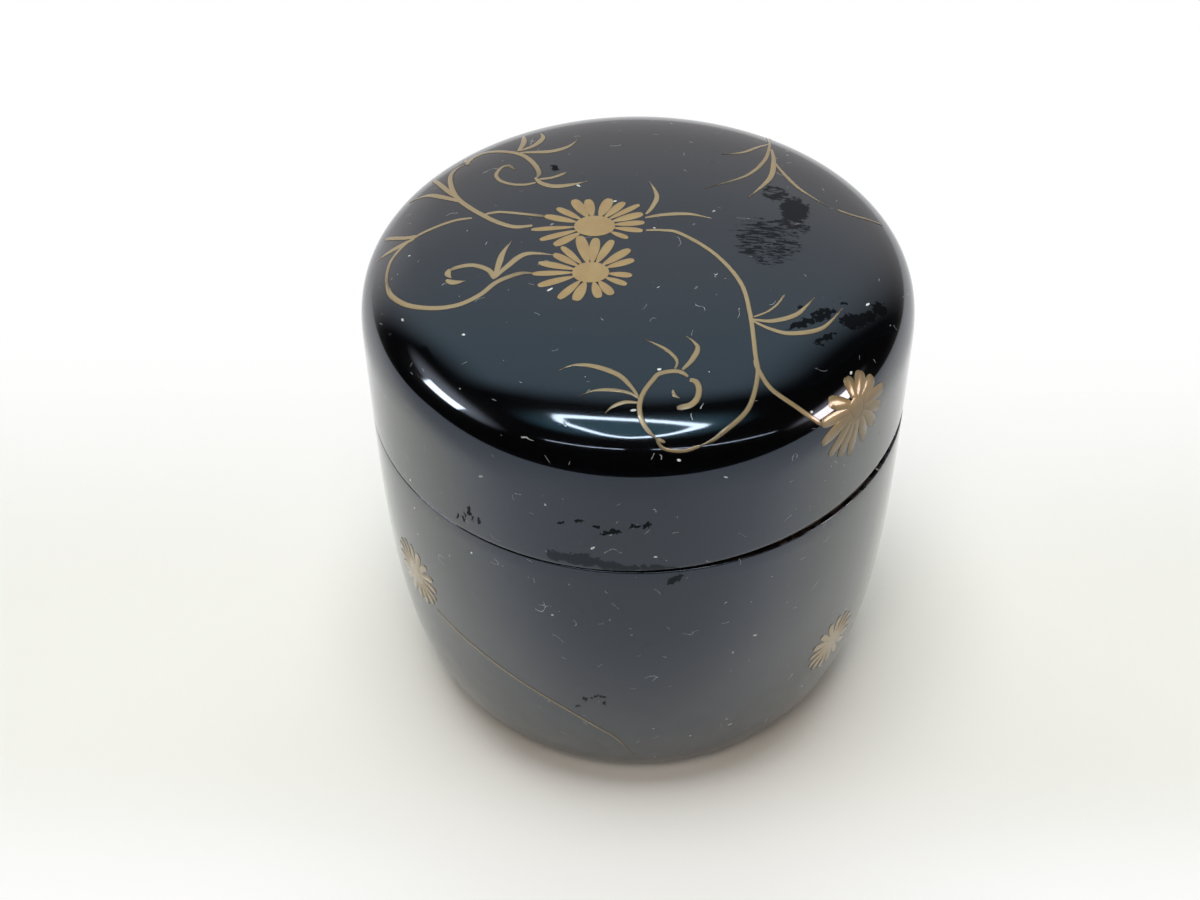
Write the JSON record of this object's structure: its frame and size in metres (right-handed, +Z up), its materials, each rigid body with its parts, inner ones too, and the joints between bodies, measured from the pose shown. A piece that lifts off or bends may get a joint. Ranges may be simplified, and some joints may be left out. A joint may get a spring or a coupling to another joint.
{
  "type": "lacquered tea box",
  "caption": "Round turned-wood tea box with a flat domed crown, coated in black lacquer, with a deep lift-off lid that slides over a standing rim on the body.",
  "frame": {"origin": "middle of the foot, on the surface that the box stands on", "axes": "+Z up along the turning axis; -Y is the side that faces the camera in the picture; +X is to the right in the picture"},
  "size_m": [0.066, 0.066, 0.0684],
  "materials": {
    "black_lacquer": "polished black lacquer with fine wear",
    "lining_lacquer": "brushed black lacquer, less polished",
    "ground_coat": "matt brown ground of clay powder and lacquer",
    "turned_wood": "bare turned wood, sealed under the coats"
  },
  "bodies": {
    "body": {"base_lacquer": "black_lacquer", "body_lacquer": "black_lacquer", "body_ground_coat": "ground_coat", "body_core": "turned_wood", "body_lining": "lining_lacquer"},
    "lid": {"lid_lacquer": "black_lacquer", "lid_ground_coat": "ground_coat", "lid_core": "turned_wood", "lid_lining": "lining_lacquer"}
  },
  "joints": [
    {"name": "lid_lift", "type": "slide", "parent": "body", "child": "lid", "axis": [0, 0, 1], "range_m": [0, 0.06]}
  ]
}
